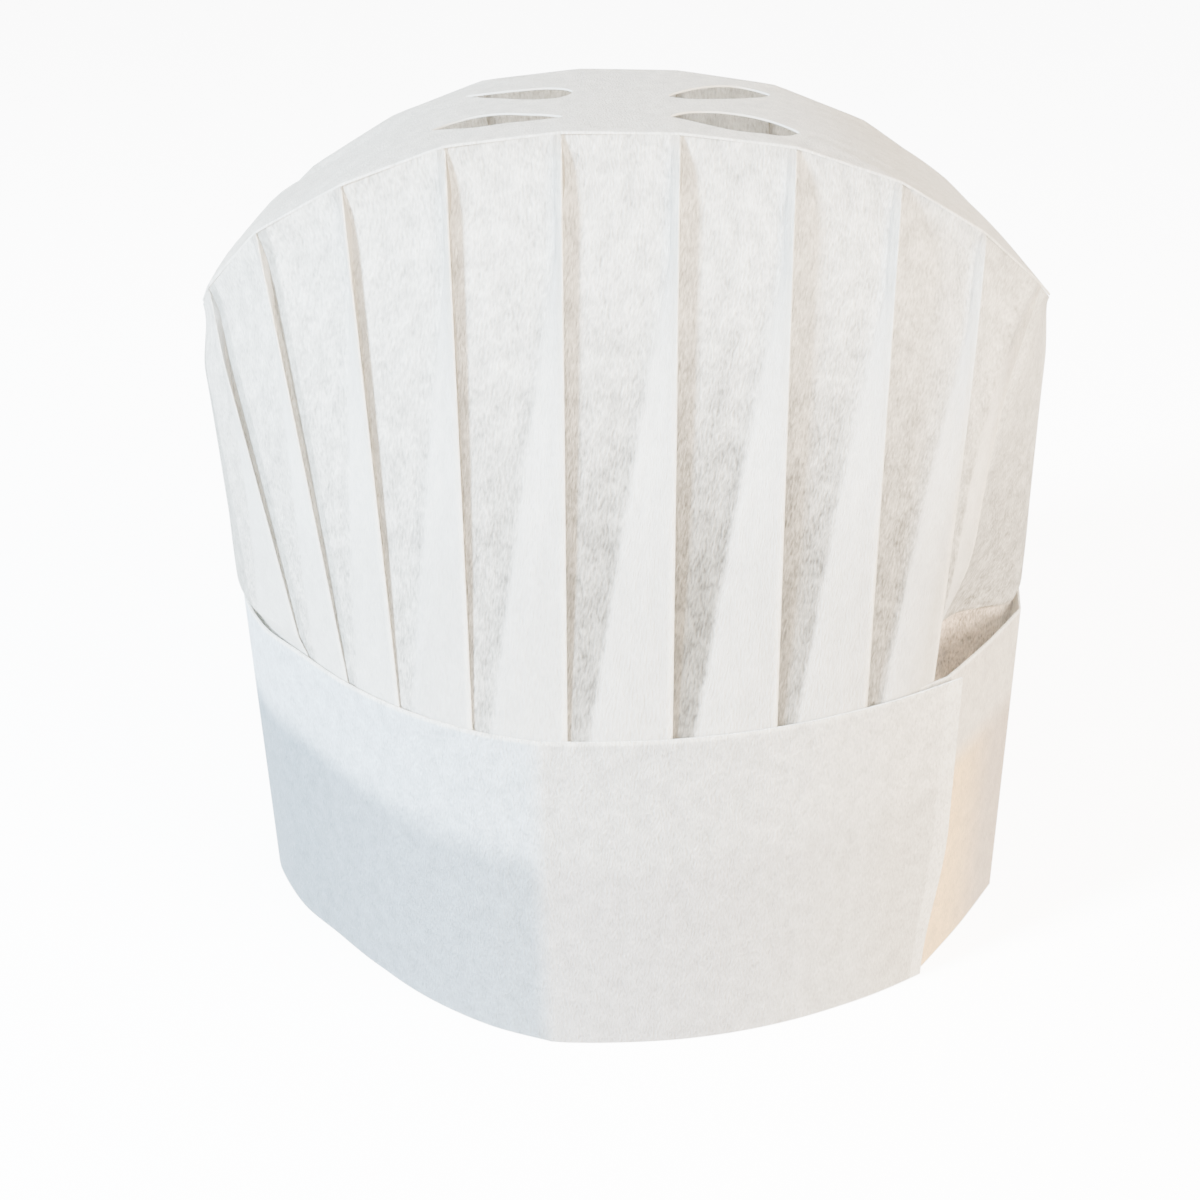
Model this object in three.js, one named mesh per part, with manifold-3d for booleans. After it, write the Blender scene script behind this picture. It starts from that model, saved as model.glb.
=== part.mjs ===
// Disposable chef hat of white nonwoven viscose: an arched crown panel with four vent holes,
// a knife-pleated wall, and a creased headband whose ends lap at the front right.
// Millimetres, +Z up, the front towards -Y. The hat stands on the lower rim of its headband.

import * as THREE from 'three';
import { mergeVertices } from 'three/addons/utils/BufferGeometryUtils.js';
import Module from 'manifold-3d';

// Driving dimensions

const cloth = 1;                 // wall thickness of every piece
const clearance = 0.3;           // gap between two pieces
const bandHeight = 79;
const wallTuck = 29;             // how far the pleated wall reaches down inside the headband
const crownHalfLength = 97.5;
const crownHalfDepth = 39.5;
const crownCentreX = -0.5;
const crownCentreY = -1;
const crownRoundness = 2.7;      // exponent of the crown's superellipse plan
const crownHeight = 189.3;       // top of the hat, at its middle
const crownEndHeight = 145.3;    // the arch's height at its two ends
const archExponent = 2.63;
const archLean = 0.7;            // the left half stands higher, the right one lower
const shoulderLift = 3.7;        // how much fuller the arch's left shoulder is
const shoulderReach = 30;        // length of that shoulder, along X from the arch's left end
const foldsPerSide = 10;
const sideStations = 4;          // extra stations on each plain side panel
const leftEndMargin = 21.3;      // edge length from the crown's left end to the front fold A
const rightEndMargin = 22.3;     // the same from the front fold J to the crown's right end
const leftBulge = 2.8;           // how far the left side panel swells out over the headband
const rightBulge = 1.4;
const foldDepth = 0.78;          // pleat underlap at the headband, as a share of the pitch
const foldVanish = 0.876;        // share of the wall's height at which the underlap ends
const layerPitch = 1.4;          // distance between two layers of a folded pleat
const layerSlack = 0.4;
const lapLength = 15;            // overlap of the headband's two ends

// Headband plan: radius of the cloth's middle surface against the angle from the front,
// positive towards the right. A crease row is a sharp corner.

const bandPlan = [
  { angle: 43.8, radius: 96.6, crease: true },
  { angle: 38, radius: 94.9, crease: false },
  { angle: 32, radius: 93.5, crease: false },
  { angle: 23, radius: 92.2, crease: false },
  { angle: 14, radius: 91.6, crease: false },
  { angle: 5, radius: 91.6, crease: false },
  { angle: -4, radius: 92.2, crease: false },
  { angle: -11.7, radius: 93.6, crease: true },
  { angle: -21, radius: 93.0, crease: false },
  { angle: -32, radius: 91.8, crease: false },
  { angle: -43, radius: 90.9, crease: false },
  { angle: -54, radius: 91.0, crease: false },
  { angle: -65, radius: 93.8, crease: false },
  { angle: -78, radius: 95.6, crease: false },
  { angle: -92, radius: 95.6, crease: false },
  { angle: -106, radius: 94.6, crease: false },
  { angle: -121, radius: 93.8, crease: false },
  { angle: -136.2, radius: 95.2, crease: true },
  { angle: -150, radius: 92.6, crease: false },
  { angle: -165, radius: 91.8, crease: false },
  { angle: -180, radius: 92.4, crease: false },
  { angle: -191.7, radius: 93.6, crease: true },
  { angle: -205, radius: 92.6, crease: false },
  { angle: -220, radius: 91.6, crease: false },
  { angle: -235, radius: 92.0, crease: false },
  { angle: -250, radius: 93.4, crease: false },
  { angle: -264, radius: 94.4, crease: false },
  { angle: -278, radius: 94.9, crease: false },
  { angle: -291, radius: 95.2, crease: false },
  { angle: -302, radius: 94.8, crease: false },
  { angle: -311, radius: 95.0, crease: false },
];

// Wall plan at the headband's upper edge, from the left front fold to the back right one: the
// ten front folds, then the right side panel. The back is the same, turned half round.
// Inset is the distance from the headband's inner face to the outermost cloth.

const wallPlan = [
  { station: 'foldA', angle: -53.1, inset: 0.3 },
  { station: 'foldB', angle: -43, inset: 0.3 },
  { station: 'foldC', angle: -32.7, inset: 0.3 },
  { station: 'foldD', angle: -21, inset: 0.3 },
  { station: 'foldE', angle: -8.4, inset: 0.3 },
  { station: 'foldF', angle: 4.9, inset: 0.3 },
  { station: 'foldG', angle: 18.7, inset: 0.3 },
  { station: 'foldH', angle: 31.6, inset: 0.3 },
  { station: 'foldI', angle: 43.3, inset: 0.3 },
  { station: 'foldJ', angle: 57.2, inset: 6 },
  { station: 'side1', angle: 68.5, inset: 1.2 },
  { station: 'side2', angle: 83, inset: 0.6 },
  { station: 'side3', angle: 98, inset: 0.5 },
  { station: 'side4', angle: 112.5, inset: 0.4 },
];

// Heights of the wall's cross-sections. Rise is the share of the way from the headband's upper
// edge to the crown, and the spacing and slack are those of the folded layers there.

const wallSections = [
  { name: 'hem', rise: 0, drop: wallTuck, spacing: layerPitch, slack: layerSlack },
  { name: 'cuff', rise: 0, drop: 0, spacing: layerPitch, slack: layerSlack },
  { name: 'flare', rise: 0.05, drop: 0, spacing: layerPitch, slack: layerSlack },
  { name: 'aboveCuff', rise: 0.1, drop: 0, spacing: layerPitch, slack: layerSlack },
  { name: 'lowest', rise: 0.2, drop: 0, spacing: layerPitch, slack: layerSlack },
  { name: 'lower', rise: 0.31, drop: 0, spacing: layerPitch, slack: layerSlack },
  { name: 'middle', rise: 0.44, drop: 0, spacing: layerPitch, slack: layerSlack },
  { name: 'upper', rise: 0.6, drop: 0, spacing: layerPitch, slack: layerSlack },
  { name: 'foldStart', rise: 0.8, drop: 0, spacing: layerPitch, slack: layerSlack },
  { name: 'foldVanish', rise: foldVanish, drop: 0, spacing: 1.2, slack: layerSlack },
  { name: 'shoulder', rise: 0.93, drop: 0, spacing: 0.8, slack: layerSlack },
  { name: 'seam', rise: 1, drop: 0, spacing: 0.25, slack: 0.2 },
];

// Vent holes: leaves cut in the crown, each from its inner tip to its outer tip.

const ventPlan = [
  { innerX: -13.5, innerY: -23, outerX: -41.7, outerY: -14, width: 11 },
  { innerX: -12.5, innerY: 2, outerX: -37.6, outerY: 17.5, width: 14 },
  { innerX: 9.2, innerY: 0.5, outerX: 33.2, outerY: 20, width: 15 },
  { innerX: 9.1, innerY: -22.6, outerX: 36.2, outerY: -22, width: 19 },
];

// Colours

const viscose = new THREE.Color(0.86, 0.85, 0.82);
const makeViscose = () => new THREE.MeshStandardMaterial({ color: viscose, roughness: 0.9, metalness: 0 });

// Shared helpers

const radians = THREE.MathUtils.degToRad;

function pointAt(angle, radius) {
  return new THREE.Vector2(radius * Math.sin(radians(angle)), -radius * Math.cos(radians(angle)));
}

// A closed wall between an outer and an inner loop at each level, both with the same number of
// points and wound anticlockwise as seen from above. An open strip also gets its two ends.

function wallGeometry(levels, isClosed) {
  const count = levels[0].outer.length;
  const positions = [];
  for (const level of levels) {
    for (const point of [...level.outer, ...level.inner]) {
      positions.push(point.x, point.y, point.z);
    }
  }
  const indices = [];
  const quad = (a, b, c, d) => indices.push(a, b, c, a, c, d);
  const outerAt = (level, i) => level * count * 2 + (i % count);
  const innerAt = (level, i) => outerAt(level, i) + count;
  const spans = isClosed ? count : count - 1;
  const top = levels.length - 1;
  for (let i = 0; i < spans; i += 1) {
    for (let level = 0; level < top; level += 1) {
      quad(outerAt(level, i), outerAt(level, i + 1), outerAt(level + 1, i + 1), outerAt(level + 1, i));
      quad(innerAt(level, i + 1), innerAt(level, i), innerAt(level + 1, i), innerAt(level + 1, i + 1));
    }
    quad(innerAt(0, i), innerAt(0, i + 1), outerAt(0, i + 1), outerAt(0, i));
    quad(outerAt(top, i), outerAt(top, i + 1), innerAt(top, i + 1), innerAt(top, i));
  }
  if (!isClosed) {
    const last = count - 1;
    for (let level = 0; level < top; level += 1) {
      quad(innerAt(level, 0), outerAt(level, 0), outerAt(level + 1, 0), innerAt(level + 1, 0));
      quad(outerAt(level, last), innerAt(level, last), innerAt(level + 1, last), outerAt(level + 1, last));
    }
  }
  const geometry = new THREE.BufferGeometry();
  geometry.setAttribute('position', new THREE.Float32BufferAttribute(positions, 3));
  geometry.setIndex(indices);
  geometry.computeVertexNormals();
  return geometry;
}

// Crown: the arch, its plan outline and the vent holes

function archAt(x) {
  const fromMiddle = x - crownCentreX;
  const share = Math.min(1, Math.abs(fromMiddle) / crownHalfLength);
  const rise = (crownHeight - crownEndHeight) * (1 - share ** archExponent);
  const intoShoulder = (shoulderReach - crownHalfLength - fromMiddle) / shoulderReach;
  const shoulder = THREE.MathUtils.clamp(intoShoulder, 0, 1) ** 1.3;
  return crownEndHeight + rise - archLean * Math.sin(Math.PI * fromMiddle / crownHalfLength)
    + shoulderLift * Math.max(0, Math.sin(Math.PI * shoulder)) ** 1.2;
}

function archSlope(x) {
  const step = 0.01;
  return (archAt(x + step) - archAt(x - step)) / (2 * step);
}

// Turns from 0 at the crown's right end through the back, 0.5 at its left end.

function crownOutline(turn, growth = 0) {
  const cosine = Math.cos(2 * Math.PI * turn);
  const sine = Math.sin(2 * Math.PI * turn);
  const power = 2 / crownRoundness;
  return new THREE.Vector2(
    crownCentreX + (crownHalfLength + growth) * Math.sign(cosine) * Math.abs(cosine) ** power,
    crownCentreY + (crownHalfDepth + growth) * Math.sign(sine) * Math.abs(sine) ** power,
  );
}

function ventShape({ innerX, innerY, outerX, outerY, width }) {
  const inner = new THREE.Vector2(innerX, innerY);
  const outer = new THREE.Vector2(outerX, outerY);
  const along = outer.clone().sub(inner);
  const across = new THREE.Vector2(-along.y, along.x).normalize().multiplyScalar(width / 2);
  const bulge = 1.45;              // how far the control points stand out, for the wanted width
  const near = 0.3;
  const far = 0.72;
  const control = (share, side) => inner.clone().addScaledVector(along, share)
    .addScaledVector(across, side * bulge);
  const shape = new THREE.Shape();
  shape.moveTo(inner.x, inner.y);
  const nearLeft = control(near, 1);
  const farLeft = control(far, 1);
  shape.bezierCurveTo(nearLeft.x, nearLeft.y, farLeft.x, farLeft.y, outer.x, outer.y);
  const farRight = control(far, -1);
  const nearRight = control(near, -1);
  shape.bezierCurveTo(farRight.x, farRight.y, nearRight.x, nearRight.y, inner.x, inner.y);
  return shape;
}

const wasm = await Module();
wasm.setup();

function toManifold(geometry) {
  const bare = geometry.clone();
  bare.deleteAttribute('normal');
  bare.deleteAttribute('uv');
  const merged = mergeVertices(bare, 1e-4);
  return new wasm.Manifold(new wasm.Mesh({
    numProp: 3,
    vertProperties: new Float32Array(merged.attributes.position.array),
    triVerts: new Uint32Array(merged.index.array),
  }));
}

function fromManifold(solid) {
  const mesh = solid.getMesh();
  const geometry = new THREE.BufferGeometry();
  geometry.setAttribute('position', new THREE.Float32BufferAttribute(mesh.vertProperties, 3));
  geometry.setIndex(new THREE.Uint32BufferAttribute(mesh.triVerts, 1));
  geometry.computeVertexNormals();
  return geometry;
}

function crownGeometry() {
  const profileSteps = 36;
  const reach = crownHalfLength + 4;
  const upper = [];
  const lower = [];
  for (let i = 0; i <= profileSteps; i += 1) {
    const x = crownCentreX - reach * Math.cos(Math.PI * i / profileSteps);
    const steep = Math.hypot(1, archSlope(x));
    upper.push(new THREE.Vector2(x, archAt(x)));
    lower.push(new THREE.Vector2(x, archAt(x) - cloth * steep));
  }
  const profile = new THREE.Shape([...lower, ...upper.reverse()]);
  const depth = 2 * (crownHalfDepth + 4);
  const sheet = new THREE.ExtrudeGeometry(profile, { depth, bevelEnabled: false });
  sheet.translate(0, 0, -depth / 2);
  sheet.rotateX(Math.PI / 2);
  const outlineSteps = 96;
  const outline = [];
  for (let i = 0; i < outlineSteps; i += 1) outline.push(crownOutline(i / outlineSteps));
  const column = (shape, curveSegments) => new THREE.ExtrudeGeometry(
    shape,
    { depth: crownHeight + 20, bevelEnabled: false, curveSegments },
  );
  let crown = toManifold(sheet).intersect(toManifold(column(new THREE.Shape(outline), 1)));
  for (const vent of ventPlan) {
    crown = crown.subtract(toManifold(column(ventShape(vent), 10)));
  }
  return fromManifold(crown);
}

// Headband: one strip along the plan, from its outer end at the front right, clockwise as seen
// from above, to its inner end, which tucks behind the outer one

function bandPath() {
  const lapStep = cloth + clearance;
  const outerEnd = bandPlan[0];
  const lapAngle = THREE.MathUtils.radToDeg(lapLength / outerEnd.radius);
  const fullTurn = 360;
  const rows = [
    ...bandPlan,
    { angle: outerEnd.angle - fullTurn + 1.5, radius: outerEnd.radius - lapStep - 0.1, crease: true },
    { angle: 38 - fullTurn, radius: 94.9 - lapStep, crease: false },
    { angle: outerEnd.angle - fullTurn - lapAngle, radius: 93.8 - lapStep, crease: false },
  ];
  const stretches = [];
  let current = [];
  rows.forEach((row, index) => {
    current.push(pointAt(row.angle, row.radius));
    if ((row.crease && index > 0) || index === rows.length - 1) {
      stretches.push(current);
      current = [current[current.length - 1]];
    }
  });
  const path = [];
  for (const stretch of stretches) {
    const points = stretch.length > 2
      ? new THREE.SplineCurve(stretch).getPoints((stretch.length - 1) * 2)
      : stretch;
    path.push(...points.slice(path.length ? 1 : 0));
  }
  return path;
}

// The two offset lines of a path, on its left and on its right, mitred at the corners.

function offsetLines(path, distance) {
  const normalOf = (a, b) => new THREE.Vector2(a.y - b.y, b.x - a.x).normalize();
  const left = [];
  const right = [];
  path.forEach((point, i) => {
    const before = i > 0 ? normalOf(path[i - 1], point) : normalOf(point, path[i + 1]);
    const after = i < path.length - 1 ? normalOf(point, path[i + 1]) : before;
    const mitre = before.clone().add(after).normalize();
    const reach = distance / mitre.dot(before);
    left.push(point.clone().addScaledVector(mitre, reach));
    right.push(point.clone().addScaledVector(mitre, -reach));
  });
  return { left, right };
}

const bandMiddle = bandPath();

function bandGeometry() {
  const anticlockwise = [...bandMiddle].reverse();
  const { left, right } = offsetLines(anticlockwise, cloth / 2);
  const lift = (points, z) => points.map((p) => new THREE.Vector3(p.x, p.y, z));
  const levels = [0, bandHeight].map((z) => ({ outer: lift(right, z), inner: lift(left, z) }));
  return wallGeometry(levels, false);
}

// Radius of the headband's innermost cloth at an angle, from the strip's own path.

function bandInnerRadius(angle) {
  const ray = pointAt(angle, 1);
  let nearest = Infinity;
  for (let i = 0; i < bandMiddle.length - 1; i += 1) {
    const a = bandMiddle[i];
    const b = bandMiddle[i + 1];
    const edge = b.clone().sub(a);
    const turn = ray.x * edge.y - ray.y * edge.x;
    const radius = (a.x * edge.y - a.y * edge.x) / turn;
    const share = (a.x * ray.y - a.y * ray.x) / turn;
    if (share >= 0 && share <= 1 && radius > 0) nearest = Math.min(nearest, radius);
  }
  return nearest - cloth / 2;
}

// Pleated wall

const stationsPerHalf = foldsPerSide + sideStations;
const stationCount = 2 * stationsPerHalf;

const cuffCurve = new THREE.CatmullRomCurve3(
  Array.from({ length: stationCount }, (_, i) => {
    const row = wallPlan[i % stationsPerHalf];
    const angle = row.angle + (i < stationsPerHalf ? 0 : 180);
    const point = pointAt(angle, bandInnerRadius(angle) - row.inset);
    return new THREE.Vector3(point.x, point.y, 0);
  }),
  true,
  'catmullrom',
  0.5,
);

// Lengths along half of the crown's edge, so that its folds are evenly spaced on the arch.

const edgeSamples = 720;
const frontEdge = [];
for (let i = 0; i <= edgeSamples; i += 1) {
  const plan = crownOutline(0.5 + 0.5 * i / edgeSamples);
  const previous = frontEdge[i - 1];
  const point = new THREE.Vector3(plan.x, plan.y, archAt(plan.x));
  const length = previous ? previous.length + previous.point.distanceTo(point) : 0;
  frontEdge.push({ point, length });
}
const frontEdgeLength = frontEdge[edgeSamples].length;

function frontEdgePoint(length) {
  const found = frontEdge.findIndex((sample) => sample.length >= length);
  const index = Math.max(1, found < 0 ? edgeSamples : found);
  const before = frontEdge[index - 1];
  const after = frontEdge[index];
  const share = (length - before.length) / (after.length - before.length);
  return before.point.clone().lerp(after.point, share);
}

// A station's place on the crown's edge: folds first, then the side panel round the crown's end.

function crownEdgePoint(station) {
  const half = Math.floor(station / stationsPerHalf);
  const within = station - half * stationsPerHalf;
  const endMargins = leftEndMargin + rightEndMargin;
  const foldPitch = (frontEdgeLength - endMargins) / (foldsPerSide - 1);
  const sidePitch = endMargins / (sideStations + 1);
  let length = leftEndMargin + within * foldPitch;
  if (within > foldsPerSide - 1) {
    length = frontEdgeLength - rightEndMargin + (within - foldsPerSide + 1) * sidePitch;
  }
  const pastEnd = length > frontEdgeLength;
  const point = frontEdgePoint(pastEnd ? length - frontEdgeLength : length);
  const turned = (half + (pastEnd ? 1 : 0)) % 2 === 1;
  if (turned) point.set(2 * crownCentreX - point.x, 2 * crownCentreY - point.y, 0);
  return point;
}

const wrap = (station) => ((station % stationCount) + stationCount) % stationCount;

// How far a plain side panel swells outward: fully over its middle, and not at its two edges.

function bulgeAt(station, rise) {
  const within = wrap(station) % stationsPerHalf;
  const panel = foldsPerSide - 1 - sideStations / 2;
  const afterPanel = within > panel ? within - stationsPerHalf : within;
  const beforePanel = within > panel ? within - (foldsPerSide - 1) : sideStations;
  const across = THREE.MathUtils.smoothstep(beforePanel, 0, 1.2)
    * (1 - THREE.MathUtils.smoothstep(afterPanel, -1, 0.7));
  const up = THREE.MathUtils.clamp(rise / 0.05, 0, 1)
    * (1 - THREE.MathUtils.smoothstep(rise, 0.78, 1));
  const isLeft = wrap(station) > stationsPerHalf + panel || wrap(station) < panel;
  return (isLeft ? leftBulge : rightBulge) * across * up;
}

function outlinePoint(station, rise) {
  const low = cuffCurve.getPoint(wrap(station) / stationCount);
  const high = crownEdgePoint(wrap(station));
  const plan = new THREE.Vector2(low.x, low.y).lerp(new THREE.Vector2(high.x, high.y), rise);
  plan.x += Math.sign(plan.x) * bulgeAt(station, rise);
  return plan;
}

const isFold = (station) => wrap(station) % stationsPerHalf < foldsPerSide;

// One wall cross-section. The cloth runs outward from each inner fold to the next outer fold,
// back under itself, and out again below, as the tiles of a roof do.

function wallSection({ rise, drop, spacing, slack }) {
  const depth = rise > foldVanish
    ? -0.9 * (rise - foldVanish)
    : foldDepth * (1 - rise / foldVanish);
  const tuck = Math.abs(depth) < 1e-9 ? 0 : -Math.sign(depth);   // which way the return layer lies
  const standOff = 2 * spacing * (1 + Math.max(0, depth)) + slack;
  const half = cloth / 2;
  const outer = [];
  const inner = [];
  const lay = (station, shift, height) => {
    const here = outlinePoint(station, rise);
    const step = 0.02;
    const tangent = outlinePoint(station + step, rise).sub(outlinePoint(station - step, rise)).normalize();
    const inward = new THREE.Vector2(-tangent.y, tangent.x);
    const plan = here.addScaledVector(tangent, shift).addScaledVector(inward, standOff + half - height);
    const seamDrop = (cloth + clearance) * Math.hypot(1, archSlope(plan.x));
    const topZ = archAt(plan.x) - seamDrop;
    return new THREE.Vector3(plan.x, plan.y, THREE.MathUtils.lerp(bandHeight, topZ, rise) - drop);
  };
  const put = (station, height, outShift, outLift, inShift, inLift) => {
    outer.push(lay(station, outShift, height + outLift));
    inner.push(lay(station, inShift, height + inLift));
  };
  let previousFold = -sideStations - 1;
  for (let station = 0; station < stationCount; station += 1) {
    if (isFold(station)) {
      const start = previousFold - depth;
      const run = station - start;
      const flat = Math.max(depth, 0.3);
      const heightAt = (s) => standOff * (run > 2.5
        ? Math.min(1, (s - start) / 2.2)
        : (s - start) / run);
      put(start, 0, half, half, -half, -half);
      put(start + flat, heightAt(start + flat), 0, half, 0, -half);
      for (let s = previousFold + 1; s < station; s += 1) put(s, heightAt(s), 0, half, 0, -half);
      put(station - flat, heightAt(station - flat), 0, half, 0, -half);
      put(station, standOff, half, half, -half, -half);
      put(station, standOff - spacing, half, tuck * half, -half, -tuck * half);
      put(station - depth, spacing, half, tuck * half, -half, -tuck * half);
      previousFold = station;
    }
  }
  return { outer, inner };
}

function pleatedWallGeometry() {
  return wallGeometry(wallSections.map(wallSection), true);
}

// Assembly

const hat = new THREE.Group();
hat.name = 'chef_hat';

function addPiece(name, geometry) {
  const piece = new THREE.Mesh(geometry, makeViscose());
  piece.name = name;
  hat.add(piece);
}

addPiece('crown', crownGeometry());
addPiece('pleated_wall', pleatedWallGeometry());
addPiece('headband', bandGeometry());

// The origin is the centre of the footprint, on the surface that the hat stands on.

const extent = new THREE.Box3().setFromObject(hat);
const middle = extent.getCenter(new THREE.Vector3());
hat.position.set(-middle.x, -middle.y, -extent.min.z);
hat.updateMatrixWorld(true);

export default hat;
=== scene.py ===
import math

import bpy
import numpy as np
from mathutils import Matrix


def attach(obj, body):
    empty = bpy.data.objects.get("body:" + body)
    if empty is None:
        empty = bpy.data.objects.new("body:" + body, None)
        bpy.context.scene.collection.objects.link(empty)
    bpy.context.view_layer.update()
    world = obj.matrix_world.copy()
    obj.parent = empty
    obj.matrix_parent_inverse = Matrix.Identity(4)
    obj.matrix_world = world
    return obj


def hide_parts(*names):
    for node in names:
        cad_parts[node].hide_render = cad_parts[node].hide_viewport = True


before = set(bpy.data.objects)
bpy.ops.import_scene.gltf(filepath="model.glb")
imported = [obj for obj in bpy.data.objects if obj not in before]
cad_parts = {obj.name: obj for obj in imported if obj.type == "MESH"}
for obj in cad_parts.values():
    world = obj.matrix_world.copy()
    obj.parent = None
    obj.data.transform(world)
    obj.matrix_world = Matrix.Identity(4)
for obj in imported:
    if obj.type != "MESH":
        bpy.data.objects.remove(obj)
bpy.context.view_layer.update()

bpy.ops.object.select_all(action="DESELECT")


# Camera, standing in front of the hat and looking down at it, at the photograph's angle.
# It sits well above the floor and close to the hat, so the wall narrows towards the headband.

bpy.ops.object.camera_add()
camera = bpy.context.object
camera.name = "camera"
camera.data.lens = 48.17
camera.data.sensor_width = 36
camera.data.shift_x = -0.0289
camera.data.shift_y = 0.0059
camera.data.clip_start = 0.01
camera_place = Matrix.Translation((0.00180, -0.36776, 0.25121))
camera_tilt = Matrix.Rotation(math.radians(62.77), 4, "X")
camera_roll = Matrix.Rotation(math.radians(-0.58), 4, "Z")
camera.matrix_world = camera_place @ camera_tilt @ camera_roll
bpy.context.scene.camera = camera


# Studio light: a cool soft key from the left that throws the pleats' shadows to the right, a
# warm soft fill from the right, a weak lamp overhead, and pale air all round.

def soft_light(name, azimuth, elevation, distance, size, power, colour):
    """A square soft box that points at the middle of the hat."""
    turn = math.radians(azimuth)
    rise = math.radians(elevation)
    aim = np.array([0, 0, 0.1])
    away = np.array([
        math.sin(turn) * math.cos(rise),
        -math.cos(turn) * math.cos(rise),
        math.sin(rise),
    ])
    bpy.ops.object.light_add(type="AREA", location=aim + away * distance)
    lamp = bpy.context.object
    lamp.name = name
    lamp.rotation_euler = (math.radians(90) - rise, 0, turn)
    lamp.data.size = size
    lamp.data.energy = power
    lamp.data.color = colour
    return lamp


soft_light("key_light", -58, 24, 1.6, 0.26, 170, (0.74, 0.895, 1.0))
soft_light("warm_fill", 52, 16, 1.4, 0.8, 84, (1.0, 0.81, 0.58))
soft_light("top_light", 10, 78, 1.5, 1.0, 17, (1.0, 0.93, 0.84))

world = bpy.data.worlds.new("studio_air")
world.use_nodes = True
world.node_tree.nodes["Background"].inputs["Color"].default_value = (1.0, 0.96, 0.91, 1)
world.node_tree.nodes["Background"].inputs["Strength"].default_value = 0.9
bpy.context.scene.world = world


# Headband: one strip of nonwoven cloth, 79 mm wide, cut along both edges and bent into a ring.
# It keeps the creases of its flat folding, and its ends are glued in a lap at the front right.

MM = 0.001
centimetre = 10.0               # the cloth's own maps count in centimetres


class Field:
    """A value that varies over a cloth, so that sums on it add the shader's Math nodes."""

    def __init__(self, finish, socket):
        self.finish = finish
        self.socket = socket

    def math(self, operation, *values):
        sockets = dict(enumerate(values))
        return self.finish.node("ShaderNodeMath", {"operation": operation}, sockets)

    def __add__(self, other):
        return self.math("ADD", self, other)

    def __sub__(self, other):
        return self.math("SUBTRACT", self, other)

    def __rsub__(self, other):
        return self.math("SUBTRACT", other, self)

    def __mul__(self, other):
        return self.math("MULTIPLY", self, other)

    def __truediv__(self, other):
        return self.math("DIVIDE", self, other)

    __radd__ = __add__
    __rmul__ = __mul__

    def between(self, low, high):
        """0 below low, 1 above high, and a smooth step from one to the other."""
        return self.finish.node(
            "ShaderNodeMapRange",
            {"interpolation_type": "SMOOTHSTEP"},
            {"Value": self, "From Min": low, "From Max": high},
        )

    def lowest(self, other):
        return self.math("MINIMUM", self, other)

    def highest(self, other):
        return self.math("MAXIMUM", self, other)

    def size(self):
        return self.math("ABSOLUTE", self)


class Finish:
    """One material, and the nodes that it is made of."""

    def __init__(self, name):
        self.material = bpy.data.materials.new(name)
        self.material.use_nodes = True
        self.tree = self.material.node_tree
        self.tree.nodes.clear()

    def node(self, kind, settings=None, sockets=None, output=0):
        made = self.tree.nodes.new(kind)
        for key, value in (settings or {}).items():
            setattr(made, key, value)
        for key, value in (sockets or {}).items():
            if isinstance(value, Field):
                self.tree.links.new(value.socket, made.inputs[key])
            else:
                made.inputs[key].default_value = value
        return Field(self, made.outputs[output] if made.outputs else None)

    def uv(self, name):
        """The two numbers of one of the piece's own UV maps, as a vector and each alone."""
        both = self.node("ShaderNodeUVMap", {"uv_map": name})
        first = self.node("ShaderNodeSeparateXYZ", sockets={0: both}, output=0)
        second = self.node("ShaderNodeSeparateXYZ", sockets={0: both}, output=1)
        return both, first, second

    def blend(self, share, colour_a, colour_b):
        sockets = {0: share, 6: colour_a, 7: colour_b}
        return self.node("ShaderNodeMix", {"data_type": "RGBA"}, sockets, output=2)

    def fibres(self, place, across, along, turn, detail):
        """Streaks of fibre on the cloth, across and along in streaks for each centimetre."""
        turned = self.node(
            "ShaderNodeMapping",
            sockets={"Vector": place, "Rotation": (0, 0, turn), "Scale": (across, along, 1)},
        )
        return self.node(
            "ShaderNodeTexNoise",
            {"noise_dimensions": "2D"},
            {"Vector": turned, "Scale": 1.0, "Detail": detail, "Roughness": 0.55},
        )


def viscose(name, place, tone, mottle, see_through, lie):
    """Matt nonwoven viscose. Tone is its colour, with the painted light and shade laid into it,
    before the fibres show in it, mottle is how strongly they do, and lie is the angle at which
    most of them lie."""
    finish = place.finish
    upright = finish.fibres(place, 24, 9.0, lie, 2.0)
    slanted = finish.fibres(place, 21, 8.0, lie + 0.7, 2.0)
    leaning = finish.fibres(place, 22, 8.0, lie - 0.6, 2.0)
    clouds = finish.fibres(place, 3.0, 2.3, lie, 2.0)
    web = upright * 0.42 + slanted * 0.29 + leaning * 0.29
    fleck = (web - 0.5) * 13.0 + (clouds - 0.5) * 5.0
    shade = (fleck * mottle + 1.0).highest(0.3).lowest(1.6)
    colour = finish.node(
        "ShaderNodeVectorMath", {"operation": "SCALE"}, {0: tone, "Scale": shade},
    )
    bump = finish.node(
        "ShaderNodeBump",
        sockets={"Strength": 1.0, "Distance": 0.0005, "Height": web + clouds * 0.4},
    )
    cloth = finish.node(
        "ShaderNodeBsdfPrincipled",
        sockets={"Base Color": colour, "Normal": bump, "Roughness": 0.92},
    )
    cloth.socket.node.inputs["Specular IOR Level"].default_value = 0.15
    cloth.socket.node.inputs["Sheen Weight"].default_value = 0.12
    glow = finish.node("ShaderNodeBsdfTranslucent", sockets={"Color": (0.86, 0.83, 0.77, 1)})
    both = finish.node("ShaderNodeMixShader", sockets={0: see_through, 1: cloth, 2: glow})
    finish.node("ShaderNodeOutputMaterial", sockets={"Surface": both})
    return finish.material


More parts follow.
